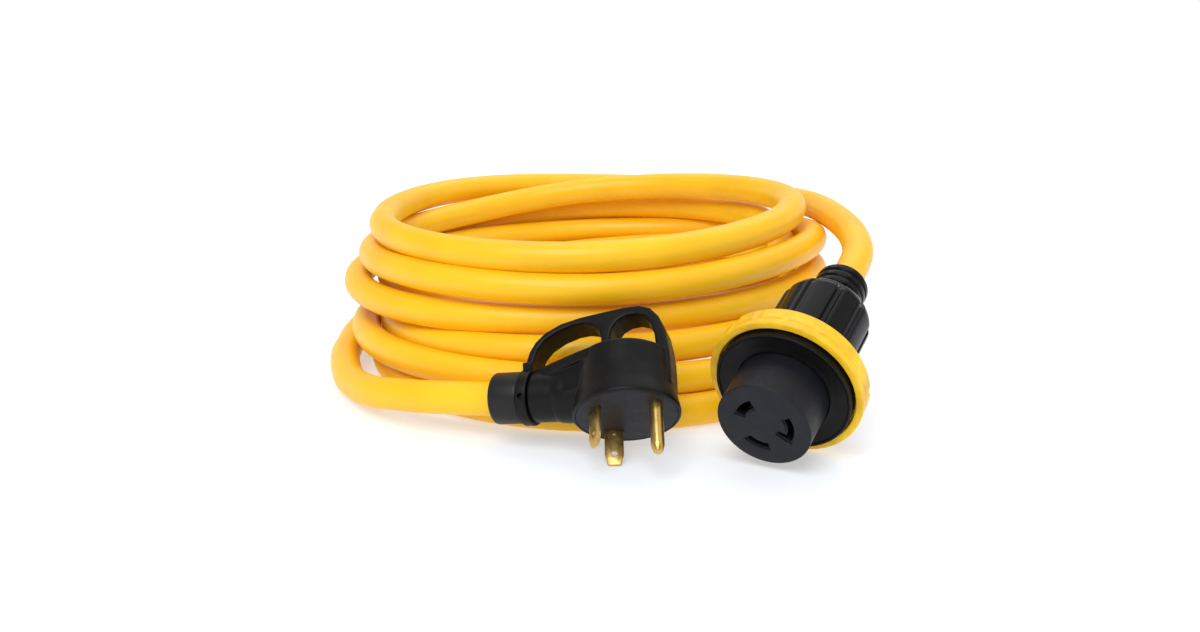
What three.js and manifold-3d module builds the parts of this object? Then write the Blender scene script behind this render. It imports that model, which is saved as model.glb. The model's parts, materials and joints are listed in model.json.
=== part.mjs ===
// A shore power cord: a moulded plug with a pull handle, a coiled cord, and a locking connector.
// Millimetres, +Z up. The floor is z = 0, and the origin lies under the middle of the plug and connector.
import * as THREE from 'three';
import { mergeVertices } from 'three/addons/utils/BufferGeometryUtils.js';
import Module from 'manifold-3d';

const wasm = await Module();
wasm.setup();

// ---- Driving dimensions ----
const GAP = 0.3;
const CORD_R = 8.75;
const CORD_BORE_R = CORD_R + GAP;
const CORD_SIDES = 8;
const WIRE_SIDES = 8;

// Coil: its axis, and the outline that its turns fill
const COIL_X = -50.7;
const COIL_Y = 177.6;
const COIL_INNER_R = 106;
const COIL_OUTLINE = [[158, 0], [158, 38], [144.5, 46], [144.5, 86], [138, 104], [112, 104], [106, 96]];

// Plug: face centre, direction that the prongs point in, direction from the face's middle to the neck
const PLUG_FACE = new THREE.Vector3(-30.6, -30.1, 24.75);
const PLUG_OUT = new THREE.Vector3(0.021, -0.7465, -0.665);
const PLUG_TO_NECK = new THREE.Vector3(-0.948, 0.197, -0.251);
const PLUG_R = 26.7;
const PLUG_BACK_R = 24;
const PLUG_DEPTH = 30.8;
const PLUG_WALL_BACK = 4;
const PLUG_CAVITY_R = 21.8;
const FACE_DISC_R = 25.2;
const FACE_DISC_DEPTH = 5;
const NECK_R = 12.9;
const NECK_BEHIND_FACE = 12.6;
const NECK_LEAN = 9;
const NECK_END = -47.9;
const COLLAR_R = 14.4;
const COLLAR_END = -53.6;
const BOOT_R = 13.2;
const BOOT_END = -69.5;
const CORD_START_IN_PLUG = -31;
const HANDLE_WIDTH = 14.4;
const HANDLE_LEG_END = -18;
const HOOD_FRONT = -24.5;
const HOOD_END = -45;

// Prongs: distance from the face's middle, angle on the face, angle of the blade's width, length
const BLADE_WIDTH = 9.5;
const BLADE_THICK = 1.8;
const BLADE_TAIL = 9;
const LINE_BLADE = { radius: 16.5, angle: 229, turn: -21, length: 18.8 };
const NEUTRAL_BLADE = { radius: 16.7, angle: 141.5, turn: 44, length: 18.8 };
const GROUND_PIN = { radius: 17.9, angle: 22, length: 26 };
const PIN_R = 3.3;
const WIRE_R = 1.55;
const CRIMP_R = 2.7;
const CRIMP_BORE_R = 1.9;
const CRIMP_LENGTH = 6.5;

// Connector: face centre, direction out of the face, and the direction across it that slot angles start at
const CONNECTOR_FACE = new THREE.Vector3(33.7, -45.8, 25.7);
const CONNECTOR_OUT = new THREE.Vector3(-0.452, -0.808, -0.378);
const CONNECTOR_SIDE = new THREE.Vector3(0.87, -0.277, -0.408);
const NOSE_R = 23.6;
const NOSE_BORE_R = 20.5;
const NOSE_FACE_THICK = 4;
const NOSE_LENGTH = 33;
const RING_R = 39.5;
const RING_INNER_R = 35.6;
const RING_FRONT = -29;
const RING_BACK = -42;
const RING_PADS = 16;
const FLANGE_R = 34.6;
const FLANGE_FRONT = -25.2;
const FLANGE_BACK = -33;
const HUB_R = 27;
const GRIP_R = 24.5;
const GRIP_GROOVES = 10;
const GRIP_FRONT = FLANGE_BACK - GAP;
const GRIP_BACK = -99;
const THREAD_R = 12.4;
const NUT_FRONT = -103;
const NUT_BACK = -121;
const NUT_R = 14.4;
const CORD_START_IN_CONNECTOR = -84;
const CARRIER_R = NOSE_BORE_R - GAP;
const CARRIER_BACK = -24.6;
// Slots in the face: middle radius, radial width, angle, and half of the angle that each spans
const SLOTS = [
  { name: 'neutral', radius: 12.3, width: 4.6, angle: 163, half: 24 },
  { name: 'ground', radius: 13.4, width: 3.2, angle: 24, half: 29 },
  { name: 'line', radius: 13, width: 2.8, angle: -83, half: 24 },
];

// Cord leads between the fittings and the coil, as points on the cord's middle line
const PLUG_LEAD = [
  [-117.7, 8.8, 20.9], [-135.3, 16.2, 19], [-151.4, 26.7, 16.7], [-165.8, 39.7, 13.7],
  [-177.6, 57.3, 10.8], [-185.4, 72.2, 9.5], [-191.8, 89.7, 8.95],
];
const CONNECTOR_LEAD = [
  [98.9, 73.9, 78.9], [104.6, 97.6, 83], [106.4, 127.6, 85.8], [104.5, 164.6, 87.3],
  [100.3, 209.6, 86.6], [89.3, 250.6, 84.5],
];

// ---- Helpers ----
const rad = THREE.MathUtils.degToRad;

function tidyMesh(geometry) {
  // One closed skin of merged corners, without the flat triangles of a pole, its faces pointing out
  const bare = geometry.clone();
  bare.deleteAttribute('normal');
  bare.deleteAttribute('uv');
  const merged = mergeVertices(bare, 1e-4);
  const source = merged.index.array;
  const corners = [];
  for (let i = 0; i < source.length; i += 3) {
    const [a, b, c] = [source[i], source[i + 1], source[i + 2]];
    if (a !== b && b !== c && c !== a) corners.push(a, b, c);
  }
  const points = merged.attributes.position.array;
  if (signedVolume(points, corners) < 0) {
    for (let i = 0; i < corners.length; i += 3) [corners[i], corners[i + 1]] = [corners[i + 1], corners[i]];
  }
  merged.setIndex(corners);
  return merged;
}

function signedVolume(points, corners) {
  const [a, b, c] = [new THREE.Vector3(), new THREE.Vector3(), new THREE.Vector3()];
  let volume = 0;
  for (let i = 0; i < corners.length; i += 3) {
    a.fromArray(points, 3 * corners[i]);
    b.fromArray(points, 3 * corners[i + 1]);
    c.fromArray(points, 3 * corners[i + 2]);
    volume += a.dot(b.cross(c)) / 6;
  }
  return volume;
}

function toSolid(geometry) {
  const mesh = tidyMesh(geometry);
  return new wasm.Manifold(new wasm.Mesh({
    numProp: 3,
    vertProperties: new Float32Array(mesh.attributes.position.array),
    triVerts: new Uint32Array(mesh.index.array),
  }));
}

function fromSolid(solid) {
  const mesh = solid.getMesh();
  const geometry = new THREE.BufferGeometry();
  geometry.setAttribute('position', new THREE.BufferAttribute(new Float32Array(mesh.vertProperties), 3));
  geometry.setIndex(Array.from(mesh.triVerts));
  return geometry;
}

function join(...geometries) {
  return fromSolid(geometries.map(toSolid).reduce((all, next) => all.add(next)));
}

function cut(geometry, ...tools) {
  return fromSolid(tools.map(toSolid).reduce((rest, tool) => rest.subtract(tool), toSolid(geometry)));
}

function turned(profile, segments = 36) {
  // A solid of revolution about Z from [radius, z] points that start and end on the axis
  const points = profile.map(([r, z]) => new THREE.Vector2(r, z));
  return new THREE.LatheGeometry(points, segments).rotateX(Math.PI / 2);
}

function turnedRing(profile, segments = 36) {
  return turned([...profile, profile[0]], segments);
}

function rod(radius, from, to, segments = 28) {
  // A cylinder along Z
  return new THREE.CylinderGeometry(radius, radius, Math.abs(to - from), segments)
    .rotateX(Math.PI / 2).translate(0, 0, (from + to) / 2);
}

function alongNeck(geometry) {
  // Takes a shape made along Z to the plug's neck axis, its z becoming x
  return geometry.rotateY(Math.PI / 2 - rad(NECK_LEAN)).translate(0, 0, -NECK_BEHIND_FACE);
}

function neckPoint(distance, y = 0) {
  return [distance * Math.cos(rad(NECK_LEAN)), y, distance * Math.sin(rad(NECK_LEAN)) - NECK_BEHIND_FACE];
}

function plate(shape, from, to, curveSegments = 6) {
  return new THREE.ExtrudeGeometry(shape, { depth: to - from, bevelEnabled: false, curveSegments })
    .translate(0, 0, from);
}

function arcShape(inner, outer, angle, half) {
  const shape = new THREE.Shape();
  shape.absarc(0, 0, outer, rad(angle - half), rad(angle + half), false);
  shape.absarc(0, 0, inner, rad(angle + half), rad(angle - half), true);
  return shape;
}

function tube(points, radius, sides, steps) {
  const path = new THREE.CatmullRomCurve3(points.map((p) => new THREE.Vector3(...p)), false, 'centripetal');
  const section = new THREE.Shape();
  section.absarc(0, 0, radius, 0, 2 * Math.PI, false);
  return new THREE.ExtrudeGeometry(section, { extrudePath: path, steps, curveSegments: sides / 2 });
}

function polar(radius, degrees) {
  return [radius * Math.cos(rad(degrees)), radius * Math.sin(rad(degrees))];
}

const object = new THREE.Group();

const MATERIALS = {
  jacket: { color: 0xf2b71a, roughness: 0.45, metalness: 0 },
  yellow_plastic: { color: 0xf7c423, roughness: 0.4, metalness: 0 },
  black_plastic: { color: 0x1b1a1c, roughness: 0.4, metalness: 0 },
  grey_plastic: { color: 0x33353d, roughness: 0.5, metalness: 0 },
  rubber: { color: 0x141414, roughness: 0.8, metalness: 0 },
  brass: { color: 0xc9a24a, roughness: 0.3, metalness: 1 },
  steel: { color: 0xb8b8b8, roughness: 0.3, metalness: 1 },
  black_wire: { color: 0x101010, roughness: 0.5, metalness: 0 },
  white_wire: { color: 0xe8e8e4, roughness: 0.5, metalness: 0 },
  green_wire: { color: 0x1f7a3a, roughness: 0.5, metalness: 0 },
};

function add(group, name, geometry, material) {
  const mesh = new THREE.Mesh(tidyMesh(geometry), new THREE.MeshStandardMaterial(MATERIALS[material]));
  mesh.name = name;
  group.add(mesh);
}

function fittingGroup(origin, out, side) {
  // Local Z points out of the face, and local X along side
  const z = out.clone().normalize();
  const x = side.clone().addScaledVector(z, -side.dot(z)).normalize();
  const group = new THREE.Group();
  group.position.copy(origin);
  group.quaternion.setFromRotationMatrix(new THREE.Matrix4().makeBasis(x, z.clone().cross(x), z));
  object.add(group);
  return group;
}

function inWorld(group, points) {
  group.updateMatrix();
  return points.map((p) => new THREE.Vector3(...p).applyMatrix4(group.matrix).toArray());
}

// ---- Plug ----
const plug = fittingGroup(PLUG_FACE, PLUG_OUT, PLUG_TO_NECK.clone().negate());

function plugBarrel(clearance = 0) {
  return turned([
    [0, -PLUG_DEPTH - clearance], [PLUG_BACK_R - 1.2 + clearance, -PLUG_DEPTH - clearance],
    [PLUG_BACK_R + clearance, -PLUG_DEPTH + 1.2], [PLUG_BACK_R + 0.3 + clearance, -18],
    [PLUG_BACK_R + 1.2 + clearance, -9], [PLUG_R - 0.3 + clearance, -3.2], [PLUG_R + clearance, -1.6],
    [PLUG_R + clearance, -0.9], [PLUG_R - 0.8 + clearance, 0], [0, 0],
  ]);
}

function plugHousing() {
  const neck = alongNeck(rod(NECK_R, NECK_END, -16));
  // A hood over the back narrows from the barrel's width to the neck's end
  const hood = new THREE.Shape();
  hood.moveTo(-8, -PLUG_BACK_R + 1.6);
  hood.lineTo(-8, PLUG_BACK_R - 1.6);
  hood.lineTo(HOOD_END, 8.5);
  hood.lineTo(HOOD_END, -8.5);
  const faceSeat = rod(FACE_DISC_R, -FACE_DISC_DEPTH - GAP, 1, 48);
  const cavity = rod(PLUG_CAVITY_R, -PLUG_DEPTH + PLUG_WALL_BACK, -1, 48);
  const cordBore = alongNeck(rod(CORD_BORE_R, NECK_END - 1, -16));
  return cut(join(plugBarrel(), neck, plate(hood, -PLUG_DEPTH, HOOD_FRONT)), faceSeat, cavity, cordBore);
}

function bladeSlot(place) {
  return new THREE.BoxGeometry(BLADE_WIDTH + 2 * GAP, BLADE_THICK + 2 * GAP, FACE_DISC_DEPTH + 2)
    .translate(0, 0, -FACE_DISC_DEPTH / 2).rotateZ(rad(place.turn))
    .translate(...polar(place.radius, place.angle), 0);
}

function plugFace() {
  const bore = rod(PIN_R + GAP, -FACE_DISC_DEPTH - 1, 1, 24)
    .translate(...polar(GROUND_PIN.radius, GROUND_PIN.angle), 0);
  const disc = rod(FACE_DISC_R - GAP, -FACE_DISC_DEPTH, 0, 48);
  return cut(disc, bore, ...[LINE_BLADE, NEUTRAL_BLADE].map(bladeSlot));
}

function blade(place) {
  // A flat plate with clipped tip corners, a locating hole near the tip and a small one near the face
  const half = BLADE_WIDTH / 2;
  const outline = new THREE.Shape();
  outline.moveTo(-half, -BLADE_TAIL);
  outline.lineTo(half, -BLADE_TAIL);
  outline.lineTo(half, 0.68 * place.length);
  outline.lineTo(0.7 * half, place.length);
  outline.lineTo(-0.7 * half, place.length);
  outline.lineTo(-half, 0.68 * place.length);
  for (const [share, radius] of [[0.66, 1.6], [0.12, 0.7]]) {
    const hole = new THREE.Path();
    hole.absarc(0, share * place.length, radius, 0, 2 * Math.PI, true);
    outline.holes.push(hole);
  }
  return plate(outline, -BLADE_THICK / 2, BLADE_THICK / 2, 8).rotateX(Math.PI / 2)
    .rotateZ(rad(place.turn)).translate(...polar(place.radius, place.angle), 0);
}

function groundPin() {
  const { radius, angle, length } = GROUND_PIN;
  return turned([
    [0, -BLADE_TAIL], [PIN_R, -BLADE_TAIL], [PIN_R, length - 3], [PIN_R * 0.87, length - 1.4],
    [PIN_R * 0.5, length - 0.3], [0, length],
  ], 24).translate(...polar(radius, angle), 0);
}

function crimp(place) {
  const front = -BLADE_TAIL - GAP;
  return turnedRing([
    [CRIMP_BORE_R, front], [CRIMP_R, front], [CRIMP_R, front - CRIMP_LENGTH],
    [CRIMP_BORE_R, front - CRIMP_LENGTH],
  ], 16).translate(...polar(place.radius, place.angle), 0);
}

function plugWire(place, bend) {
  // From the cord's end, through the open middle, and up into the crimp
  const [x, y] = polar(place.radius, place.angle);
  const crimpBack = -BLADE_TAIL - CRIMP_LENGTH;
  return tube([...bend, [x, y, crimpBack - 3], [x, y, -BLADE_TAIL - 2]], WIRE_R, WIRE_SIDES, 12);
}

function plugCollar() {
  const front = NECK_END - GAP;
  const ring = alongNeck(turnedRing([
    [CORD_BORE_R, front], [COLLAR_R - 0.6, front], [COLLAR_R, front - 0.6],
    [COLLAR_R, COLLAR_END + 0.6], [COLLAR_R - 0.6, COLLAR_END], [CORD_BORE_R, COLLAR_END],
  ], 32));
  const [x, y, z] = neckPoint((front + COLLAR_END) / 2, COLLAR_R - 1.5);
  return cut(ring, rod(1, 0, 20, 12).rotateX(-Math.PI / 2).translate(x, y, z));
}

function plugBoot() {
  const front = COLLAR_END - GAP;
  return alongNeck(turnedRing([
    [CORD_BORE_R, front], [BOOT_R, front], [BOOT_R, BOOT_END + 2.4], [BOOT_R - 0.6, BOOT_END + 0.8],
    [BOOT_R - 1.8, BOOT_END], [CORD_BORE_R, BOOT_END],
  ], 32));
}

function plugHandle() {
  // A strap over the back of the plug with a post under it, so that two fingers pass through; its right
  // leg runs down the side of the barrel
  const through = (points) => points.map(([x, z]) => new THREE.Vector2(x, z));
  const side = new THREE.Shape();
  side.moveTo(-51, -29);
  side.lineTo(-50.4, -38);
  side.splineThru(through([[-48.7, -43.2], [-45.6, -48.4], [-40.3, -53], [-31.7, -56.6], [-20.8, -58.2],
    [-9.2, -58.7], [2.3, -59], [10.6, -58.3], [16, -55.8], [20.2, -50.2], [23.2, -42.5], [24.8, -33.6],
    [25.8, -26]]));
  side.lineTo(26.2, HANDLE_LEG_END);
  side.lineTo(18, HANDLE_LEG_END);
  side.lineTo(18, -34);
  side.splineThru(through([[17.6, -40], [16, -46.6], [12.6, -51.6], [8.2, -53.6], [2.9, -53.6],
    [-1.2, -51.8], [-4.3, -48], [-5.4, -43]]));
  side.lineTo(-5.4, -20);
  side.lineTo(-10.2, -20);
  side.lineTo(-10.2, -44);
  side.splineThru(through([[-11.4, -49], [-14.8, -52.6], [-19.3, -54.2], [-25.5, -54.3], [-33.3, -52.3],
    [-40.3, -48.6], [-44.2, -44], [-46.2, -37.5]]));
  side.lineTo(-46.6, -29);
  const strap = plate(side, -HANDLE_WIDTH / 2, HANDLE_WIDTH / 2, 4).rotateX(Math.PI / 2);
  const overCollar = alongNeck(rod(COLLAR_R + GAP, -60, -30, 40));
  return cut(strap, plugBarrel(GAP), overCollar);
}

add(plug, 'plug_housing', plugHousing(), 'black_plastic');
add(plug, 'plug_face', plugFace(), 'grey_plastic');
add(plug, 'plug_handle', plugHandle(), 'black_plastic');
add(plug, 'plug_collar', plugCollar(), 'black_plastic');
add(plug, 'plug_boot', plugBoot(), 'rubber');
add(plug, 'line_blade', blade(LINE_BLADE), 'brass');
add(plug, 'neutral_blade', blade(NEUTRAL_BLADE), 'brass');
add(plug, 'ground_pin', groundPin(), 'brass');
add(plug, 'line_crimp', crimp(LINE_BLADE), 'brass');
add(plug, 'neutral_crimp', crimp(NEUTRAL_BLADE), 'brass');
add(plug, 'ground_crimp', crimp(GROUND_PIN), 'brass');
const wireStart = CORD_START_IN_PLUG + GAP;
const lineWire = [neckPoint(wireStart, -3.5), [-24, -4.2, -17.2], [-17, -8, -20.5], [-12.5, -11.4, -23]];
const neutralWire = [neckPoint(wireStart, 3.6), [-24.5, 4.2, -17.2], [-18.5, 7, -20.5], [-14.3, 9.4, -23]];
const groundWire = [
  [-30.3, 0, -11.7], [-20, -0.4, -11.9], [-4, 1.2, -15.5], [8, 3.4, -22.4], [13.6, 5.8, -22.8],
];
add(plug, 'plug_line_wire', plugWire(LINE_BLADE, lineWire), 'black_wire');
add(plug, 'plug_neutral_wire', plugWire(NEUTRAL_BLADE, neutralWire), 'white_wire');
add(plug, 'plug_ground_wire', plugWire(GROUND_PIN, groundWire), 'green_wire');

// ---- Connector ----
const connector = fittingGroup(CONNECTOR_FACE, CONNECTOR_OUT, CONNECTOR_SIDE);

function faceSlot({ name, radius, width, angle, half }) {
  const outline = arcShape(radius - width / 2, radius + width / 2, angle, half);
  const slot = plate(outline, -NOSE_FACE_THICK - 1, 1);
  if (name !== 'ground') return slot;
  // The ground slot turns inwards at one end
  const tab = arcShape(radius - width / 2 - 2.6, radius, angle - half + 6, 6);
  return join(slot, plate(tab, -NOSE_FACE_THICK - 1, 1));
}

function connectorNose() {
  const shell = turned([
    [0, 0], [NOSE_R - 0.8, 0], [NOSE_R, -0.8], [NOSE_R, -NOSE_LENGTH], [NOSE_BORE_R, -NOSE_LENGTH],
    [NOSE_BORE_R, -NOSE_FACE_THICK], [0, -NOSE_FACE_THICK],
  ]);
  return cut(shell, ...SLOTS.map(faceSlot));
}

function contactCarrier() {
  const pockets = SLOTS.map(({ angle }) => plate(arcShape(8.2, 17.2, angle, 34), CARRIER_BACK - 1, 0));
  return cut(rod(CARRIER_R, CARRIER_BACK, -NOSE_FACE_THICK - GAP, 48), ...pockets);
}

function contact({ angle }) {
  // Two curved leaves that close on a blade, on a base that a terminal screw is driven through
  const base = plate(arcShape(8.6, 16.8, angle, 30), -24, -22, 5);
  const outerLeaf = plate(arcShape(15.4, 16.4, angle, 24), -22.2, -6, 5);
  const innerLeaf = plate(arcShape(9, 10, angle, 24), -22.2, -6, 5);
  const hole = rod(2.1, -26, -20, 12).translate(...polar(12.7, angle), 0);
  return cut(join(base, outerLeaf, innerLeaf), hole);
}

function terminalScrew({ angle }) {
  const screw = turned([[0, -18], [1.2, -18], [1.8, -18.8], [1.8, -24.3], [3.2, -24.3], [3.2, -26.4],
    [2.6, -27], [0, -27]], 14);
  const driverSlot = new THREE.BoxGeometry(8, 0.8, 1.6).translate(0, 0, -27);
  return cut(screw, driverSlot).translate(...polar(12.7, angle), 0);
}

function connectorWire({ angle }, cordAngle) {
  // From beside the screw's head back to the cord's end
  const [x, y] = polar(12.7, angle);
  const [u, v] = polar(3.6, cordAngle);
  return tube([[x, y, -29.2], [x * 0.95, y * 0.95, -38], [(x + u) / 2, (y + v) / 2, -60],
    [u, v, CORD_START_IN_CONNECTOR + GAP]], WIRE_R, WIRE_SIDES, 8);
}

function connectorFlange() {
  // A round plate with a thin raised rim
  return turnedRing([
    [NOSE_R + GAP, FLANGE_FRONT - 0.6], [FLANGE_R - 1.6, FLANGE_FRONT - 0.6],
    [FLANGE_R - 1.2, FLANGE_FRONT], [FLANGE_R - 0.3, FLANGE_FRONT], [FLANGE_R, FLANGE_FRONT - 0.3],
    [FLANGE_R, FLANGE_BACK], [NOSE_R + GAP, FLANGE_BACK],
  ]);
}

function lockingRing() {
  const webFront = FLANGE_BACK - 0.7;
  const band = turnedRing([
    [RING_INNER_R, RING_FRONT], [RING_R - 0.8, RING_FRONT], [RING_R, RING_FRONT - 0.8],
    [RING_R, RING_FRONT - 3.4], [RING_R - 1, RING_FRONT - 4], [RING_R - 1, RING_BACK + 0.8],
    [RING_R - 1.8, RING_BACK], [HUB_R + 0.4, RING_BACK], [HUB_R + 0.4, webFront], [RING_INNER_R, webFront],
  ]);
  const pads = [];
  for (let i = 0; i < RING_PADS; i += 1) {
    const shape = arcShape(RING_R - 2.5, RING_R - 0.2, (360 * i) / RING_PADS, 7);
    pads.push(plate(shape, RING_BACK + 1.4, RING_FRONT - 5.4, 2));
  }
  return join(band, ...pads);
}

function gripShell() {
  const shell = turnedRing([
    [NOSE_BORE_R, GRIP_FRONT], [HUB_R, GRIP_FRONT], [HUB_R, RING_BACK - GAP], [29.3, RING_BACK - GAP],
    [29.3, -45.3], [25.2, -50.5], [GRIP_R, -52.5], [GRIP_R, -88], [GRIP_R - 1.5, -92], [18.5, -97.4],
    [17.2, GRIP_BACK], [THREAD_R + GAP, GRIP_BACK], [THREAD_R + GAP, -91], [19.6, -87], [NOSE_BORE_R, -83],
  ]);
  const grooves = [];
  for (let i = 0; i < GRIP_GROOVES; i += 1) {
    const [x, y] = polar(GRIP_R + 1.1, (360 * (i + 0.5)) / GRIP_GROOVES);
    grooves.push(rod(2.3, -87, -53.5, 8).translate(x, y, 0));
  }
  return cut(shell, ...grooves);
}

function threadedNeck() {
  const bore = CORD_BORE_R + 0.4;
  const outer = [];
  for (let z = -99; z > -110; z -= 3) outer.push([THREAD_R, z], [THREAD_R - 0.7, z - 1]);
  return turnedRing([
    [bore, -90], [bore, -87], [THREAD_R - GAP, -87], [THREAD_R - GAP, -98.4], ...outer,
    [THREAD_R - 0.7, -111], [bore, -111],
  ], 24);
}

function glandNut() {
  const profile = [[THREAD_R + GAP, NUT_FRONT], [NUT_R - 0.6, NUT_FRONT]];
  for (const middle of [-106.2, -111.5, -116.8]) {
    profile.push([NUT_R - 0.6, middle + 2.2], [NUT_R, middle + 1.5], [NUT_R, middle - 1.5]);
    profile.push([NUT_R - 0.6, middle - 2.2]);
  }
  profile.push([NUT_R - 0.8, NUT_BACK + 1], [NUT_R - 2, NUT_BACK], [CORD_BORE_R, NUT_BACK]);
  profile.push([CORD_BORE_R, -118.6], [THREAD_R + GAP, -117.8]);
  return turnedRing(profile, 24);
}

function cordGrommet() {
  return turnedRing([
    [CORD_BORE_R, -111.4], [THREAD_R - 0.2, -111.4], [THREAD_R - 0.2, -116.8], [11.4, -117.6],
    [CORD_BORE_R, -117.6],
  ], 24);
}

add(connector, 'connector_nose', connectorNose(), 'grey_plastic');
add(connector, 'connector_flange', connectorFlange(), 'grey_plastic');
add(connector, 'locking_ring', lockingRing(), 'yellow_plastic');
add(connector, 'grip_shell', gripShell(), 'black_plastic');
add(connector, 'threaded_neck', threadedNeck(), 'black_plastic');
add(connector, 'gland_nut', glandNut(), 'black_plastic');
add(connector, 'cord_grommet', cordGrommet(), 'rubber');
add(connector, 'contact_carrier', contactCarrier(), 'grey_plastic');
const WIRE_COLOURS = { neutral: 'white_wire', ground: 'green_wire', line: 'black_wire' };
for (const slot of SLOTS) {
  add(connector, `${slot.name}_contact`, contact(slot), 'brass');
  add(connector, `${slot.name}_screw`, terminalScrew(slot), 'steel');
  add(connector, `connector_${slot.name}_wire`, connectorWire(slot, slot.angle), WIRE_COLOURS[slot.name]);
}

// ---- Cord ----
function cordCoil() {
  return turnedRing([[COIL_INNER_R, 0], ...COIL_OUTLINE], 48).translate(COIL_X, COIL_Y, 0);
}

function cordLead(group, insideFitting, route, steps) {
  return tube([...inWorld(group, insideFitting), ...route], CORD_R, CORD_SIDES, steps);
}

const neckLine = [CORD_START_IN_PLUG, -50, BOOT_END - 3].map((distance) => neckPoint(distance));
const glandLine = [CORD_START_IN_CONNECTOR, -104, NUT_BACK - 3].map((z) => [0, 0, z]);
add(object, 'cord_coil', cordCoil(), 'jacket');
add(object, 'cord_lead_plug', cordLead(plug, neckLine, PLUG_LEAD, 12), 'jacket');
add(object, 'cord_lead_connector', cordLead(connector, glandLine, CONNECTOR_LEAD, 14), 'jacket');

export default object;
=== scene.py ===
"""Looks of the shore power cord: its cord at full length, its plug, its connector and their materials."""

import json
import math

import bmesh
import bpy
import numpy as np
from mathutils import Matrix, Vector


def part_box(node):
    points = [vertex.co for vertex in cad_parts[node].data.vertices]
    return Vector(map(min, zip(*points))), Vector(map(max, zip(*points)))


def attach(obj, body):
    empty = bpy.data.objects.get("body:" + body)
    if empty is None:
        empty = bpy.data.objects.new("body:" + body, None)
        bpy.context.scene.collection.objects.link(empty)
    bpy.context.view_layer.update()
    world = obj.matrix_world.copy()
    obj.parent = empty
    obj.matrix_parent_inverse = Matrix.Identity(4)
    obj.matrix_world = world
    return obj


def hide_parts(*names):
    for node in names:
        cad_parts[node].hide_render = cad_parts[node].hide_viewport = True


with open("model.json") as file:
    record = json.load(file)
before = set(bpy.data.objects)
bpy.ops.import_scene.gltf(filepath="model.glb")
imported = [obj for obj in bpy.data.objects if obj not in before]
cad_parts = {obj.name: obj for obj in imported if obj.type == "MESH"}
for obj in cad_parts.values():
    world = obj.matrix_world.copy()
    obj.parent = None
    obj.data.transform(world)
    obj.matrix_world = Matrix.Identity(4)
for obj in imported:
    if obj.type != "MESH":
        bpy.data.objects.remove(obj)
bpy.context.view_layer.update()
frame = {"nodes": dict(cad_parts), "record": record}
MM = 0.001

# ---- The cord's route, in millimetres in the part's frame ----
CORD_DIAMETER = 17.5
coil_low, coil_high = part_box("cord_coil")
COIL_X = 500 * (coil_low[0] + coil_high[0])
COIL_Y = 500 * (coil_low[1] + coil_high[1])

# The plug's lead, from inside the boot to the coil's first turn
PLUG_LEAD = [
    (-79.7, -4.5, 25.6), (-99, 1.9, 22.7), (-117.7, 8.8, 20.9), (-135.3, 16.2, 19),
    (-151.4, 26.7, 16.7), (-165.8, 39.7, 13.7), (-177.6, 57.3, 10.8), (-185.4, 72.2, 9.5),
    (-191.8, 89.7, 8.95),
]
LOWEST_BEND = [(-199.7, 122.6, 8.75), (-202.2, 150.6, 8.75)]
# The coil: (quarter turns from the front, radius, height), going left, back, right and front again
COIL = [
    (1, 152.5, 8.75), (2, 152, 8.75), (3, 156, 8.75), (4, 161.3, 8.75), (5, 127.5, 8.75), (6, 129.5, 15),
    (7, 135.3, 15), (8, 156.9, 26), (9, 141.5, 23.4), (10, 143.7, 25.8), (11, 140, 38),
    (12, 143.3, 38.4), (13, 122.6, 27), (14, 113, 39.6), (15, 142.3, 55.3), (16, 128.2, 51.8),
    (17, 147.4, 49.8), (17.5, 143, 54.5), (18, 139, 66.7), (18.5, 134, 73), (18.75, 128, 74),
    (19, 123.5, 69), (20, 112, 48), (21, 127.4, 51.5), (22, 129.5, 51.6), (22.25, 134.5, 53.8),
    (22.5, 141.5, 58.2), (22.75, 144.6, 67.3), (23, 142.5, 74.2), (24, 132.9, 70), (24.5, 135.4, 70),
    (25, 136.8, 67), (25.5, 130.5, 70.5), (26, 123, 83), (27, 127.8, 95.5), (28, 128, 86.5),
    (29, 130, 85),
]
# The last stretch, from the top turn's left bend over the back of the coil, then down into the gland
OVER_THE_BACK = [
    (-177.7, 230.1, 84.5), (-153.7, 279.1, 85), (-108.2, 315.6, 84), (-55.7, 327.6, 82.5),
    (-4.7, 324.1, 82), (35.3, 308.6, 82.5), (67.3, 283.6, 83.5),
]
CONNECTOR_LEAD = [
    (89.3, 250.6, 84.5), (100.3, 209.6, 86.6), (104.5, 164.6, 87.3), (106.4, 127.6, 85.8),
    (104.6, 97.6, 83), (98.9, 73.9, 78.9), (87, 49.5, 70.3), (78.9, 35, 63.5),
]
STEPS_PER_POINT = 12
STEPS_PER_QUARTER = 24


def through(points, at, wanted, slopes=None):
    """A smooth line through points given at the numbers at: cubics whose slopes come from the neighbours."""
    points, at = np.array(points, float), np.array(at, float)
    if slopes is None:
        slopes = np.gradient(points, at, axis=0)
    i = np.clip(np.searchsorted(at, wanted, side="right") - 1, 0, len(at) - 2)
    gap = (at[i + 1] - at[i])[:, None]
    u = (wanted - at[i])[:, None] / gap
    return ((2 * u**3 - 3 * u**2 + 1) * points[i] + (u**3 - 2 * u**2 + u) * gap * slopes[i]
            + (3 * u**2 - 2 * u**3) * points[i + 1] + (u**3 - u**2) * gap * slopes[i + 1])


def coil_turns():
    """The coil's middle line, turning about the coil's centre."""
    quarters = [knot[0] for knot in COIL]
    count = round((quarters[-1] - quarters[0]) * STEPS_PER_QUARTER) + 1
    wanted = np.linspace(quarters[0], quarters[-1], count)
    turns = []
    for quarter, (radius, height) in zip(wanted, through([knot[1:] for knot in COIL], quarters, wanted)):
        angle = math.radians(-90 - 90 * quarter)
        turns.append((COIL_X + radius * math.cos(angle), COIL_Y + radius * math.sin(angle), height))
    return turns


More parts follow.
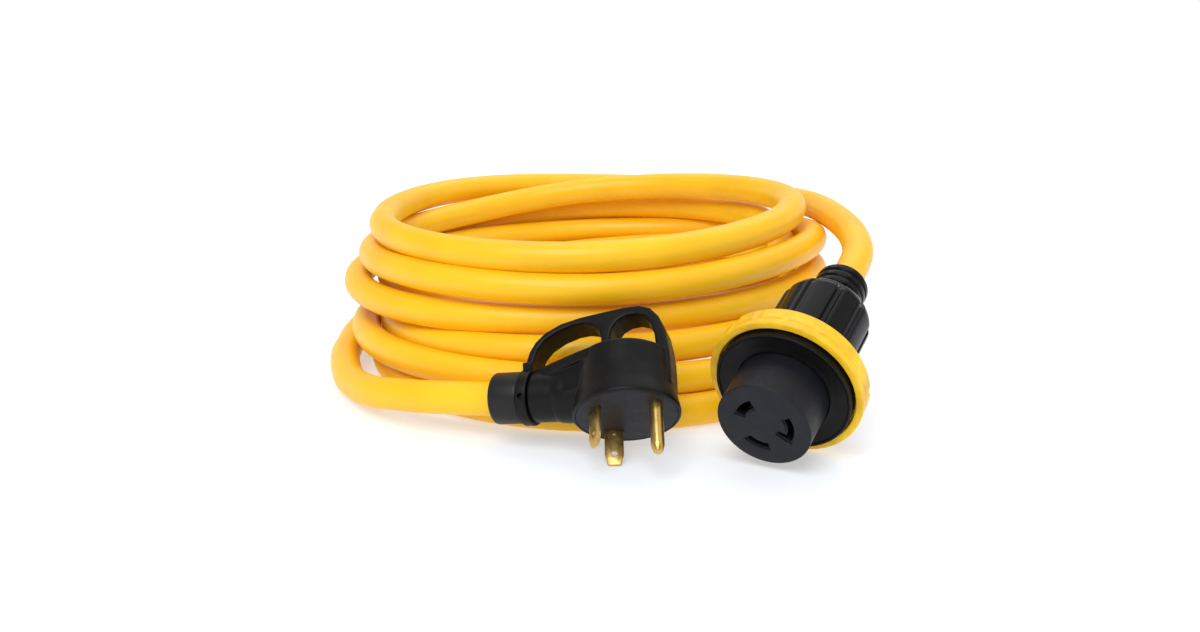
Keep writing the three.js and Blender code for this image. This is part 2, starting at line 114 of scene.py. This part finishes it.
def even_slopes(points):
    """Slopes at numbered points that let the bend change evenly all along the line."""
    points, count = np.array(points, float), len(points)
    system = 4 * np.eye(count) + np.eye(count, k=1) + np.eye(count, k=-1)
    system[0, 0] = system[-1, -1] = 2
    ahead, behind = np.vstack([points[1:], points[-1:]]), np.vstack([points[:1], points[:-1]])
    return np.linalg.solve(system, 3 * (ahead - behind))


def stretch(points, first, last):
    """The smooth line through points, kept between the points numbered first and last."""
    wanted = np.linspace(first, last, (last - first) * STEPS_PER_POINT + 1)
    return [tuple(p) for p in through(points, range(len(points)), wanted, even_slopes(points))]


def cord_line():
    """The cord's whole middle line, from inside the plug to inside the connector."""
    turns = coil_turns()
    start = PLUG_LEAD + LOWEST_BEND + [turns[0], turns[STEPS_PER_QUARTER // 8]]
    end = [turns[-1 - STEPS_PER_QUARTER // 4], turns[-1]] + OVER_THE_BACK + CONNECTOR_LEAD
    return stretch(start, 0, len(start) - 2)[:-1] + turns + stretch(end, 1, len(end) - 1)[1:]


# ---- Camera ----
def add_camera():
    camera = bpy.data.objects.new("camera", bpy.data.cameras.new("camera"))
    camera.data.lens = 36
    camera.data.sensor_width = 36
    camera.data.clip_start = 0.01
    camera.location = (-0.0437, -0.5814, 0.223)
    camera.rotation_euler = (math.radians(75), 0, 0)
    bpy.context.scene.collection.objects.link(camera)
    bpy.context.scene.camera = camera


add_camera()


# ---- Materials ----
class Finish:
    """A material whose colour, roughness and bump come from noise at the sizes that the surface shows."""

    def __init__(self, name, **constants):
        self.material = bpy.data.materials.new(name)
        self.material.use_nodes = True
        self.tree = self.material.node_tree
        self.shader = self.tree.nodes["Principled BSDF"]
        for socket, value in constants.items():
            self.shader.inputs[socket.replace("_", " ")].default_value = value
        self.place = self.tree.nodes.new("ShaderNodeTexCoord").outputs["Object"]
        self.height = None

    def link(self, a, b):
        self.tree.links.new(a, b)

    def noise(self, size, detail=3, stretch=None):
        """Noise whose lumps are about size millimetres across."""
        place = self.place
        if stretch:
            mapping = self.tree.nodes.new("ShaderNodeMapping")
            mapping.inputs["Scale"].default_value = stretch
            self.link(place, mapping.inputs["Vector"])
            place = mapping.outputs["Vector"]
        node = self.tree.nodes.new("ShaderNodeTexNoise")
        node.inputs["Scale"].default_value = 1 / (size * MM)
        node.inputs["Detail"].default_value = detail
        self.link(place, node.inputs["Vector"])
        return node.outputs["Fac"]

    def spread(self, value, low, high, start=0.3, end=0.7):
        node = self.tree.nodes.new("ShaderNodeMapRange")
        for socket, number in zip(("From Min", "From Max", "To Min", "To Max"), (start, end, low, high)):
            node.inputs[socket].default_value = number
        self.link(value, node.inputs["Value"])
        return node.outputs["Result"]

    def colours(self, value, stops):
        node = self.tree.nodes.new("ShaderNodeValToRGB")
        ramp = node.color_ramp
        while len(ramp.elements) < len(stops):
            ramp.elements.new(0.5)
        for element, (position, colour) in zip(ramp.elements, stops):
            element.position = position
            element.color = (*colour, 1)
        self.link(value, node.inputs["Fac"])
        self.link(node.outputs["Color"], self.shader.inputs["Base Color"])

    def roughness(self, value, low, high):
        self.link(self.spread(value, low, high), self.shader.inputs["Roughness"])

    def bump(self, value, depth, strength=1.0):
        """Adds a relief of depth millimetres to the surface."""
        node = self.tree.nodes.new("ShaderNodeBump")
        node.inputs["Distance"].default_value = depth * MM
        node.inputs["Strength"].default_value = strength
        self.link(value, node.inputs["Height"])
        if self.height:
            self.link(self.height, node.inputs["Normal"])
        self.height = node.outputs["Normal"]
        self.link(self.height, self.shader.inputs["Normal"])


def shade(colour, factor):
    return tuple(min(1.0, c * factor) for c in colour)


def jacket():
    finish = Finish("jacket", Specular_IOR_Level=0.4)
    yellow = (0.95, 0.53, 0.008)
    finish.colours(finish.noise(45, 4), [
        (0.3, shade(yellow, 0.93)), (0.5, yellow), (0.7, (0.97, 0.56, 0.01))])
    finish.roughness(finish.noise(9, 4), 0.34, 0.46)
    finish.bump(finish.noise(26, 2), 0.22)
    finish.bump(finish.noise(0.6, 2), 0.012)
    return finish.material


def moulded(name, colour, rough, grain=0.5, depth=0.015, shine=0.4):
    """Moulded plastic: an even colour with faint flow marks, and a fine spark-eroded grain."""
    finish = Finish(name, Specular_IOR_Level=shine)
    finish.colours(finish.noise(12, 5), [(0.3, shade(colour, 0.8)), (0.7, shade(colour, 1.25))])
    finish.roughness(finish.noise(5, 4), rough - 0.05, rough + 0.08)
    finish.bump(finish.noise(grain, 2), depth)
    return finish.material


def brass():
    finish = Finish("brass", Metallic=1.0)
    finish.colours(finish.noise(4, 5), [
        (0.3, (0.52, 0.33, 0.09)), (0.5, (0.63, 0.42, 0.13)), (0.7, (0.72, 0.5, 0.18))])
    finish.roughness(finish.noise(2.5, 4), 0.27, 0.36)
    finish.bump(finish.noise(0.5, 3, (1, 1, 0.12)), 0.003)
    return finish.material


def steel():
    finish = Finish("steel", Metallic=1.0)
    finish.colours(finish.noise(3, 4), [(0.3, (0.45, 0.45, 0.45)), (0.7, (0.68, 0.68, 0.66))])
    finish.roughness(finish.noise(1.5, 3), 0.22, 0.4)
    finish.bump(finish.noise(0.4, 2), 0.01)
    return finish.material


MATERIALS = {
    "jacket": jacket(),
    "yellow_plastic": moulded("yellow_plastic", (0.93, 0.5, 0.01), 0.36),
    "black_plastic": moulded("black_plastic", (0.0035, 0.0032, 0.0032), 0.4, shine=0.19),
    "gloss_plastic": moulded("gloss_plastic", (0.0012, 0.0011, 0.0014), 0.16, 2.5, 0.01, 0.13),
    "grey_plastic": moulded("grey_plastic", (0.0065, 0.0068, 0.0105), 0.45, shine=0.26),
    "black_rubber": moulded("black_rubber", (0.0075, 0.0065, 0.0065), 0.42, 0.8, 0.02, 0.32),
    "brass": brass(),
    "steel": steel(),
    "black_wire": moulded("black_wire", (0.01, 0.01, 0.01), 0.4),
    "white_wire": moulded("white_wire", (0.78, 0.78, 0.74), 0.4),
    "green_wire": moulded("green_wire", (0.02, 0.22, 0.05), 0.4),
}
SLOT_OF = {part["node"]: part["material_slot"] for part in frame["record"]["subparts"]}


def dress_cad_nodes():
    for name, node in frame["nodes"].items():
        node.data.materials.clear()
        node.data.materials.append(MATERIALS[SLOT_OF[name]])


dress_cad_nodes()


# ---- Cord ----
def add_cord():
    line = [Vector(p) * MM for p in cord_line()]
    curve = bpy.data.curves.new("power_cord", "CURVE")
    curve.dimensions = "3D"
    curve.bevel_depth = 0.5 * CORD_DIAMETER * MM
    curve.bevel_resolution = 10
    curve.use_fill_caps = True
    spline = curve.splines.new("POLY")
    spline.points.add(len(line) - 1)
    for point, place in zip(spline.points, line):
        point.co = (*place, 1)
    spline.use_smooth = True
    curve.materials.append(MATERIALS["jacket"])
    cord = bpy.data.objects.new("power_cord", curve)
    bpy.context.scene.collection.objects.link(cord)
    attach(cord, "cord_set")
    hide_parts("cord_coil", "cord_lead_plug", "cord_lead_connector")


add_cord()


# ---- Shapes ----
def local_frame(mount_name, side):
    """A fitting's own axes in the part's frame: Z out of its face, and X along side."""
    mount = next(m for m in frame["record"]["mounts"] if m["name"] == mount_name)
    out = Vector(mount["axis"]).normalized()
    x = (Vector(side) - Vector(side).dot(out) * out).normalized()
    axes = Matrix((x, out.cross(x), out)).transposed().to_4x4()
    return Matrix.Translation(mount["pos_m"]) @ axes @ Matrix.Scale(MM, 4)


def rounded(outline, radius, steps=4):
    """A closed outline whose corners are rounded, except those on the axis (first number 0)."""
    result = []
    for i, corner in enumerate(outline):
        p = Vector(corner)
        before, after = Vector(outline[i - 1]) - p, Vector(outline[(i + 1) % len(outline)]) - p
        reach = min(radius, 0.45 * before.length, 0.45 * after.length)
        if abs(p.x) < 1e-6 or reach < 1e-3:
            result.append(tuple(p))
            continue
        start, end = p + reach * before.normalized(), p + reach * after.normalized()
        for k in range(steps + 1):
            u = k / steps
            result.append(tuple((1 - u)**2 * start + 2 * u * (1 - u) * p + u**2 * end))
    return result


def turned(outline, segments=128, radius_at=None):
    """A solid of revolution about Z from a closed (radius, z) outline; radius_at may reshape each point."""
    solid = bmesh.new()
    rings = []
    for r, z in outline:
        if r < 1e-6:
            rings.append([solid.verts.new((0, 0, z))])
            continue
        ring = []
        for i in range(segments):
            angle = 2 * math.pi * i / segments
            radius = radius_at(r, z, angle) if radius_at else r
            ring.append(solid.verts.new((radius * math.cos(angle), radius * math.sin(angle), z)))
        rings.append(ring)
    for a, b in zip(rings, rings[1:] + rings[:1]):
        for i in range(segments):
            corners = [a[i % len(a)], b[i % len(b)], b[(i + 1) % len(b)], a[(i + 1) % len(a)]]
            corners = list(dict.fromkeys(corners))
            if len(corners) > 2:
                solid.faces.new(corners)
    bmesh.ops.recalc_face_normals(solid, faces=solid.faces)
    return solid


def plate(outline, low, high, edge=0.0, steps=3):
    """A flat outline with a thickness along Z and rounded edges."""
    solid = bmesh.new()
    base = solid.faces.new([solid.verts.new((x, y, low)) for x, y in outline])
    top = bmesh.ops.extrude_face_region(solid, geom=[base])["geom"]
    top_corners = [v for v in top if isinstance(v, bmesh.types.BMVert)]
    bmesh.ops.translate(solid, verts=top_corners, vec=(0, 0, high - low))
    bmesh.ops.recalc_face_normals(solid, faces=solid.faces)
    if edge:
        rims = [e for e in solid.edges if abs(e.verts[0].co.z - e.verts[1].co.z) < 1e-6]
        bmesh.ops.bevel(solid, geom=rims, offset=edge, segments=steps, profile=0.5, affect="EDGES")
    return solid


def arc_outline(inner, outer, angle, half, steps=10):
    """A piece of a flat ring, from angle - half to angle + half degrees."""
    turns = [math.radians(angle - half + 2 * half * i / steps) for i in range(steps + 1)]
    return ([(outer * math.cos(t), outer * math.sin(t)) for t in turns]
            + [(inner * math.cos(t), inner * math.sin(t)) for t in reversed(turns)])


def polar(radius, degrees):
    return radius * math.cos(math.radians(degrees)), radius * math.sin(math.radians(degrees))


def moved(solid, *matrices):
    """The solid, moved by the matrices in turn."""
    for matrix in matrices:
        bmesh.ops.transform(solid, matrix=matrix, verts=solid.verts)
    return solid


def turn(degrees, axis="Z"):
    return Matrix.Rotation(math.radians(degrees), 4, axis)


def shift(x, y, z):
    return Matrix.Translation((x, y, z))


def to_object(name, solid):
    mesh = bpy.data.meshes.new(name)
    solid.to_mesh(mesh)
    solid.free()
    piece = bpy.data.objects.new(name, mesh)
    bpy.context.scene.collection.objects.link(piece)
    return piece


def apply_modifiers(piece):
    evaluated = piece.evaluated_get(bpy.context.evaluated_depsgraph_get())
    mesh = bpy.data.meshes.new_from_object(evaluated)
    piece.modifiers.clear()
    old = piece.data
    piece.data = mesh
    bpy.data.meshes.remove(old)


def combine(piece, operation, *solids):
    """Joins solids to the piece (UNION) or cuts them out of it (DIFFERENCE)."""
    tools = [to_object("tool", solid) for solid in solids]
    for tool in tools:
        modifier = piece.modifiers.new("combine", "BOOLEAN")
        modifier.operation = operation
        modifier.solver = "EXACT"
        modifier.object = tool
    apply_modifiers(piece)
    for tool in tools:
        mesh = tool.data
        bpy.data.objects.remove(tool)
        bpy.data.meshes.remove(mesh)


def gathered(*solids):
    """One mesh that holds several overlapping closed solids, for melt to run together."""
    whole = bmesh.new()
    for solid in solids:
        mesh = bpy.data.meshes.new("solid")
        solid.to_mesh(mesh)
        solid.free()
        whole.from_mesh(mesh)
        bpy.data.meshes.remove(mesh)
    return whole


def bevel(piece, width, angle=30, steps=3):
    modifier = piece.modifiers.new("bevel", "BEVEL")
    modifier.width = width
    modifier.segments = steps
    modifier.limit_method = "ANGLE"
    modifier.angle_limit = math.radians(angle)
    apply_modifiers(piece)


def melt(piece, voxel, passes):
    """Runs joined shapes into one moulding with soft inner and outer corners."""
    remesh = piece.modifiers.new("remesh", "REMESH")
    remesh.mode = "VOXEL"
    remesh.voxel_size = voxel
    smooth = piece.modifiers.new("smooth", "SMOOTH")
    smooth.factor = 0.5
    smooth.iterations = passes
    apply_modifiers(piece)


def finish_piece(piece, place, material, body, *nodes):
    """Puts a piece made in millimetres in its fitting's place, instead of the plain nodes."""
    piece.data.transform(place)
    piece.data.materials.clear()
    piece.data.materials.append(MATERIALS[material])
    piece.data.polygons.foreach_set("use_smooth", [True] * len(piece.data.polygons))
    piece.data.set_sharp_from_angle(angle=math.radians(42))
    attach(piece, body)
    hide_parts(*nodes)


# ---- Plug ----
PLUG = local_frame("plug_face", (0.948, -0.197, 0.251))
PLUG_R = 26.7
PLUG_BACK_R = 24
PLUG_DEPTH = 30.8
NECK_R = 12.9
NECK_BEHIND_FACE = 12.6
NECK_LEAN = 9
CORD_BORE_R = 9.05
FACE_R = 24.9
FACE_DEPTH = 5
NECK = shift(0, 0, -NECK_BEHIND_FACE) @ turn(90 - NECK_LEAN, "Y")
HANDLE_WIDTH = 14.4
# The handle's side view: its outer line and leg, then the finger gaps on either side of the post
HANDLE_OUTER = [
    (-50.6, -34), (-50.2, -38.4), (-48.7, -43.2), (-45.6, -48.4), (-40.3, -53), (-31.7, -56.6),
    (-20.8, -58.2), (-9.2, -58.7), (2.3, -59), (10.6, -58.3), (16, -55.8), (20.2, -50.2), (22.9, -42.5),
    (24.3, -33.6),
    (24.9, -26), (24.9, -18), (24.6, -11), (22, -11), (18, -20), (18, -34),
]
GAP_BY_THE_LEG = [(17.6, -40), (16, -46.6), (12.6, -51.6), (8.2, -53.6), (2.9, -53.6), (-1.2, -51.8),
                  (-4.3, -48), (-5.4, -43), (-5.4, -28), (-10.2, -28), (-10.2, -44)]
GAP_BY_THE_NECK = [(-11.4, -49), (-14.8, -52.6), (-19.3, -54.2), (-25.5, -54.3), (-33.3, -52.3),
                   (-40.3, -48.6), (-44.2, -44), (-46.2, -37.5), (-46.6, -32)]
BLADE_WIDTH = 9.5
BLADE_THICK = 1.8
BLADE_LENGTH = 18.8
PRONG_TAIL = 9
CAVITY_R = 21.8
COLLAR_R = 14.4
COLLAR_FRONT = -48.2
COLLAR_BACK = -53.6
BOOT_R = 13.2
BOOT_FRONT = -53.9
BOOT_BACK = -69.5
# Prongs: at is a radius and an angle on the face
LINE_BLADE = {"at": (16.5, 229), "turn": -21}
NEUTRAL_BLADE = {"at": (16.7, 141.5), "turn": 44}
GROUND_PIN = {"at": (17.9, 22), "length": 26, "radius": 3.3}


def plug_body():
    """The housing: barrel, neck, the hood over them, and the pull handle, moulded in one."""
    barrel = turned(rounded([
        (0, -PLUG_DEPTH), (PLUG_BACK_R, -PLUG_DEPTH), (PLUG_BACK_R + 0.3, -18), (PLUG_BACK_R + 1.2, -9),
        (PLUG_R - 0.3, -3.2), (PLUG_R, -1.6), (PLUG_R, 0), (0, 0)], 1.6))
    neck = moved(turned(rounded([(0, -47.9), (NECK_R, -47.9), (NECK_R, -8), (0, -8)], 0.5)), NECK)
    step = moved(turned([(0, -34), (NECK_R + 0.5, -34), (NECK_R + 0.9, -31), (NECK_R + 0.9, -8),
                         (0, -8)]), NECK)
    hood = plate([(-6, -22.6), (-6, 22.6), (-20, 18.4), (-45.5, 9), (-45.5, -9), (-20, -18.4)],
                 -PLUG_DEPTH, -25, 1.2)
    shoulder = plate([(-6, -19), (-6, 19), (-25, 14.4), (-41, 10), (-41, -10), (-25, -14.4)], -26, -11, 2)
    strap = moved(plate(HANDLE_OUTER + GAP_BY_THE_LEG + GAP_BY_THE_NECK,
                        -HANDLE_WIDTH / 2, HANDLE_WIDTH / 2, 0.9), turn(90, "X"))
    body = to_object("plug_body", gathered(barrel, neck, step, hood, shoulder, strap))
    melt(body, 0.5, 5)
    seat = turned([(0, -FACE_DEPTH - 0.3), (FACE_R + 0.2, -FACE_DEPTH - 0.3), (FACE_R + 0.2, 1), (0, 1)])
    cavity = turned([(0, 4 - PLUG_DEPTH), (CAVITY_R, 4 - PLUG_DEPTH), (CAVITY_R, -1), (0, -1)], 64)
    bore = moved(turned([(0, -60), (CORD_BORE_R, -60), (CORD_BORE_R, -16), (0, -16)], 64), NECK)
    over_collar = moved(turned([(0, -60), (14.6, -60), (14.6, -48), (0, -48)], 64), NECK)
    combine(body, "DIFFERENCE", seat, cavity, bore, over_collar)
    finish_piece(body, PLUG, "black_plastic", "cord_set", "plug_housing", "plug_handle")


def blade_slot(blade, spare):
    width, thick = BLADE_WIDTH + spare, BLADE_THICK + spare
    corners = [(-width / 2, -thick / 2), (width / 2, -thick / 2),
               (width / 2, thick / 2), (-width / 2, thick / 2)]
    return moved(plate(corners, -20, 5), turn(blade["turn"]), shift(*polar(*blade["at"]), 0))


def plug_face():
    outline = rounded([(0, -FACE_DEPTH), (FACE_R, -FACE_DEPTH), (FACE_R, 0), (0, 0)], 0.3)
    face = to_object("plug_face_disc", turned(outline))
    bore_r = GROUND_PIN["radius"] + 0.2
    bore = moved(turned([(0, -9), (bore_r, -9), (bore_r, 5), (0, 5)], 48),
                 shift(*polar(*GROUND_PIN["at"]), 0))
    combine(face, "DIFFERENCE", blade_slot(LINE_BLADE, 0.4), blade_slot(NEUTRAL_BLADE, 0.4), bore)
    finish_piece(face, PLUG, "grey_plastic", "cord_set", "plug_face")


def add_blade(name, blade):
    """A flat contact with clipped tip corners and bevelled edges, a locating hole and a pin mark."""
    half, shoulder, tip = BLADE_WIDTH / 2, 0.72 * BLADE_LENGTH, BLADE_LENGTH
    outline = rounded([(-half, -PRONG_TAIL), (half, -PRONG_TAIL), (half, shoulder), (0.66 * half, tip),
                       (-0.66 * half, tip), (-half, shoulder)], 0.7)
    piece = to_object(name + "_prong", plate(outline, -BLADE_THICK / 2, BLADE_THICK / 2, 0.3, 2))
    holes = [moved(turned([(0, -3), (r, -3), (r, 3), (0, 3)], 32), shift(0, share * BLADE_LENGTH, 0))
             for share, r in ((0.66, 1.6), (0.13, 0.7))]
    combine(piece, "DIFFERENCE", *holes)
    place = PLUG @ shift(*polar(*blade["at"]), 0) @ turn(blade["turn"]) @ turn(90, "X")
    finish_piece(piece, place, "brass", "cord_set", name)


def ground_pin():
    radius, length = GROUND_PIN["radius"], GROUND_PIN["length"]
    outline = rounded([(0, -PRONG_TAIL), (radius, -PRONG_TAIL), (radius, length - 3.4),
                       (radius * 0.62, length), (0, length)], 2.2, 8)
    pin = to_object("ground_prong", turned(outline, 64))
    finish_piece(pin, PLUG @ shift(*polar(*GROUND_PIN["at"]), 0), "brass", "cord_set", "ground_pin")


def plug_collar():
    """The band round the neck's end, with a pin hole on its side and a small catch on its top."""
    middle = (COLLAR_FRONT + COLLAR_BACK) / 2
    outline = rounded([(CORD_BORE_R, COLLAR_FRONT), (COLLAR_R, COLLAR_FRONT), (COLLAR_R, COLLAR_BACK),
                       (CORD_BORE_R, COLLAR_BACK)], 0.6)
    collar = to_object("plug_band", turned(outline))
    catch = moved(plate(rounded([(-2.4, -2.5), (2.4, -2.5), (2.4, 2.5), (-2.4, 2.5)], 0.8), 0, 17.8, 0.5),
                  turn(90, "Y"), shift(0, 0, middle), turn(34))
    combine(collar, "UNION", catch)
    bore = turned([(0, COLLAR_BACK - 1), (CORD_BORE_R, COLLAR_BACK - 1), (CORD_BORE_R, COLLAR_FRONT + 1),
                   (0, COLLAR_FRONT + 1)])
    hole = moved(turned([(0, 12.2), (1.4, 12.2), (1.4, 20), (0, 20)], 32), turn(-90, "X"), turn(24),
                 shift(0, 0, middle))
    combine(collar, "DIFFERENCE", bore, hole)
    finish_piece(collar, PLUG @ NECK, "black_plastic", "cord_set", "plug_collar")


def plug_boot():
    """The sleeve over the cord."""
    outline = rounded([(CORD_BORE_R, BOOT_FRONT), (BOOT_R, BOOT_FRONT), (BOOT_R, BOOT_BACK),
                       (CORD_BORE_R, BOOT_BACK)], 1.4)
    boot = to_object("plug_sleeve", turned(outline))
    finish_piece(boot, PLUG @ NECK, "black_rubber", "cord_set", "plug_boot")


plug_body()
plug_face()
add_blade("line_blade", LINE_BLADE)
add_blade("neutral_blade", NEUTRAL_BLADE)
ground_pin()
plug_collar()
plug_boot()

# ---- Connector ----
CONNECTOR = local_frame("connector_face", (0.87, -0.277, -0.408))
NOSE_R = 23.6
NOSE_BORE_R = 20.5
NOSE_LENGTH = 33
NOSE_FACE_THICK = 4
SLOT_DEPTH = 6
# Each slot has a shallow step round its mouth
SLOT_EDGE = 0.8
SLOT_EDGE_DEPTH = 0.7
# Middle radius, radial width, angle and half of the angle that each slot spans
SLOTS = [(12.3, 4.6, 163, 24), (13.4, 3.2, 24, 29), (13, 2.8, -83, 24)]
# The ground slot's tab: inner and outer radius, angle and half angle
GROUND_TAB = (7.6, 13.4, 1, 6)
FLANGE_R = 34.6
FLANGE_FRONT = -25.2
FLANGE_BACK = -33
RING_R = 39.5
RING_INNER_R = 35.6
RING_FRONT = -29
RING_BACK = -42
RING_PADS = 16
RING_PAD_SHARE = 0.78
RING_PAD_HEIGHT = 0.6
HUB_R = 27.4
GRIP_R = 24.5
GRIP_GROOVES = 10
GROOVE_DEPTH = 1.5
GROOVE_HALF_WIDTH = 1.5
GRIP_BACK = -99
NUT_R = 14.4
NUT_FRONT = -103
NUT_BACK = -121
NUT_RIDGES = (-106.2, -111.5, -116.8)
# The grip's end and the nut both clear the threaded neck by this radius
THREAD_CLEAR_R = 12.7


def connector_nose():
    outline = rounded([(0, 0), (NOSE_R, 0), (NOSE_R, -NOSE_LENGTH), (NOSE_BORE_R, -NOSE_LENGTH),
                       (NOSE_BORE_R, -NOSE_FACE_THICK), (0, -NOSE_FACE_THICK)], 0.7)
    nose = to_object("connector_barrel", turned(outline, 160))
    cuts = []
    for spare, depth in ((SLOT_EDGE, -SLOT_EDGE_DEPTH), (0, -SLOT_DEPTH)):
        for radius, width, angle, half in SLOTS:
            spread = math.degrees(spare / radius)
            outline = arc_outline(radius - width / 2 - spare, radius + width / 2 + spare,
                                  angle, half + spread)
            cuts.append(plate(outline, depth, 1))
        inner, outer, angle, half = GROUND_TAB
        spread = math.degrees(spare / inner)
        cuts.append(plate(arc_outline(inner - spare, outer, angle, half + spread), depth, 1))
    combine(nose, "DIFFERENCE", *cuts)
    bevel(nose, 0.4)
    finish_piece(nose, CONNECTOR, "grey_plastic", "cord_set", "connector_nose")


def connector_flange():
    """The shallow dish behind the nose, with a thin raised rim."""
    outline = rounded([
        (NOSE_R + 0.15, FLANGE_FRONT - 0.4), (NOSE_R + 3, FLANGE_FRONT - 0.8),
        (FLANGE_R - 1.7, FLANGE_FRONT - 0.8), (FLANGE_R - 1.2, FLANGE_FRONT), (FLANGE_R, FLANGE_FRONT),
        (FLANGE_R, FLANGE_BACK), (NOSE_R + 0.15, FLANGE_BACK)], 0.6)
    flange = to_object("connector_dish", turned(outline, 160))
    finish_piece(flange, CONNECTOR, "black_plastic", "cord_set", "connector_flange")


def locking_ring():
    """The turning ring: a plain front lip with small pips, and a band of shallow finger pads behind it."""
    def pads(radius, z, angle):
        if radius < RING_R - 1.3 or not RING_BACK + 0.7 < z < RING_FRONT - 4:
            return radius
        across = abs((angle * RING_PADS / (2 * math.pi)) % 1 - 0.5) * 2
        rise = 0.5 * (1 + math.tanh((RING_PAD_SHARE - across) * 30))
        along = min(1, max(0, (z - RING_BACK - 0.8) / 0.6), max(0, (RING_FRONT - 4.6 - z) / 0.6))
        return radius + RING_PAD_HEIGHT * rise * along
    band = [(RING_R - 0.9, RING_FRONT - 4 - 0.35 * i) for i in range(24)]
    outline = rounded([
        (RING_INNER_R, RING_FRONT), (RING_R, RING_FRONT), (RING_R, RING_FRONT - 3.4), *band,
        (RING_R - 1, RING_BACK), (HUB_R + 0.2, RING_BACK), (HUB_R + 0.2, FLANGE_BACK - 0.7),
        (RING_INNER_R, FLANGE_BACK - 0.7)], 0.8)
    ring = to_object("turning_ring", turned(outline, 320, pads))
    middle = (RING_R + RING_INNER_R) / 2
    pips = [moved(turned(rounded([(0, -0.6), (0.55, -0.6), (0.55, 0.3), (0, 0.3)], 0.4), 16),
                  shift(*polar(middle, 360 * (i + 0.3) / RING_PADS), RING_FRONT)) for i in range(RING_PADS)]
    combine(ring, "UNION", *pips)
    finish_piece(ring, CONNECTOR, "yellow_plastic", "ring", "locking_ring")


def grip_shell():
    """The hand grip: wide panels with narrow grooves between them, and a round shoulder at the gland."""
    def grooves(radius, z, angle):
        if radius < 17.6 or z > -49:
            return radius
        across = abs((angle * GRIP_GROOVES / (2 * math.pi)) % 1 - 0.5) * 2 * math.pi * GRIP_R / GRIP_GROOVES
        depth = GROOVE_DEPTH * 0.5 * (1 + math.tanh((GROOVE_HALF_WIDTH - across) * 2.6))
        panel = 0.25 * math.cos(math.pi * min(1, across / 7.7))
        along = min(1, max(0, (-50 - z) / 1.5), max(0, (z + 96) / 3))
        return radius - (depth + max(0, panel) * 0.4) * along
    side = [(GRIP_R, -52 - 1.8 * i) for i in range(21)]
    outline = rounded([
        (NOSE_BORE_R, FLANGE_BACK - 0.3), (HUB_R - 0.4, FLANGE_BACK - 0.3), (HUB_R - 0.4, RING_BACK - 0.3),
        (29.3, RING_BACK - 0.3), (29.3, -45.3), (25.6, -50.5), *side, (23.9, -90), (22.9, -92.4),
        (21.2, -94.8), (19.2, -96.6), (17.4, -97.8), (16.4, GRIP_BACK), (THREAD_CLEAR_R, GRIP_BACK),
        (THREAD_CLEAR_R, -91), (19.6, -87), (NOSE_BORE_R, -83)], 0.8)
    grip = to_object("hand_grip", turned(outline, 480, grooves))
    finish_piece(grip, CONNECTOR, "gloss_plastic", "cord_set", "grip_shell")


def gland_nut():
    """The nut round the cord, with three flat ridges."""
    profile = [(THREAD_CLEAR_R, NUT_FRONT), (NUT_R - 1, NUT_FRONT)]
    for middle in NUT_RIDGES:
        profile += [(NUT_R - 1, middle + 2.3), (NUT_R, middle + 1.7)]
        profile += [(NUT_R, middle - 1.7), (NUT_R - 1, middle - 2.3)]
    profile += [(NUT_R - 1, NUT_BACK + 1), (NUT_R - 2.4, NUT_BACK), (CORD_BORE_R, NUT_BACK)]
    profile += [(CORD_BORE_R, -118.6), (THREAD_CLEAR_R, -117.8)]
    nut = to_object("cord_nut", turned(rounded(profile, 0.7)))
    finish_piece(nut, CONNECTOR, "gloss_plastic", "cord_set", "gland_nut")


connector_nose()
connector_flange()
locking_ring()
grip_shell()
gland_nut()


# ---- Studio ----
FLOOR_SIZE = 12
FLOOR_GLOW = 0.45
# Name, elevation, azimuth, strength and softness of each far light
SUNS = [("key_light", 52, -20, 1.95, 40), ("back_light", 55, 165, 0.9, 60), ("right_light", 40, 80, 0.35, 60)]


def add_floor():
    mesh = bpy.data.meshes.new("floor")
    floor = bmesh.new()
    bmesh.ops.create_grid(floor, x_segments=1, y_segments=1, size=FLOOR_SIZE)
    floor.to_mesh(mesh)
    floor.free()
    finish = Finish("floor", Specular_IOR_Level=0.1, Roughness=0.8, Emission_Color=(1, 1, 1, 1),
                    Emission_Strength=FLOOR_GLOW)
    finish.colours(finish.noise(300, 2), [(0.3, (0.56, 0.6, 0.66)), (0.7, (0.57, 0.61, 0.67))])
    mesh.materials.append(finish.material)
    plane = bpy.data.objects.new("floor", mesh)
    bpy.context.scene.collection.objects.link(plane)


def add_sun(name, elevation, azimuth, strength, softness):
    """A soft far light; azimuth is counted from the front, towards the right."""
    light = bpy.data.lights.new(name, "SUN")
    light.energy = strength
    light.angle = math.radians(softness)
    sun = bpy.data.objects.new(name, light)
    up, turn = math.radians(elevation), math.radians(azimuth)
    towards = Vector((math.sin(turn) * math.cos(up), -math.cos(turn) * math.cos(up), math.sin(up)))
    sun.rotation_euler = towards.to_track_quat("Z", "Y").to_euler()
    bpy.context.scene.collection.objects.link(sun)


def add_world():
    """White paper at the horizon that the floor runs into, and a dimmer white above."""
    world = bpy.data.worlds.new("studio")
    world.use_nodes = True
    nodes, links = world.node_tree.nodes, world.node_tree.links
    place = nodes.new("ShaderNodeTexCoord").outputs["Generated"]
    split = nodes.new("ShaderNodeSeparateXYZ")
    links.new(place, split.inputs["Vector"])
    fade = nodes.new("ShaderNodeMapRange")
    for socket, number in zip(("From Min", "From Max", "To Min", "To Max"), (0.1, 0.3, 1.05, 0.4)):
        fade.inputs[socket].default_value = number
    links.new(split.outputs["Z"], fade.inputs["Value"])
    background = nodes["Background"]
    background.inputs["Color"].default_value = (1, 1, 1, 1)
    links.new(fade.outputs["Result"], background.inputs["Strength"])
    bpy.context.scene.world = world
    bpy.context.scene.view_settings.view_transform = "Standard"


add_floor()
for sun_values in SUNS:
    add_sun(*sun_values)
add_world()
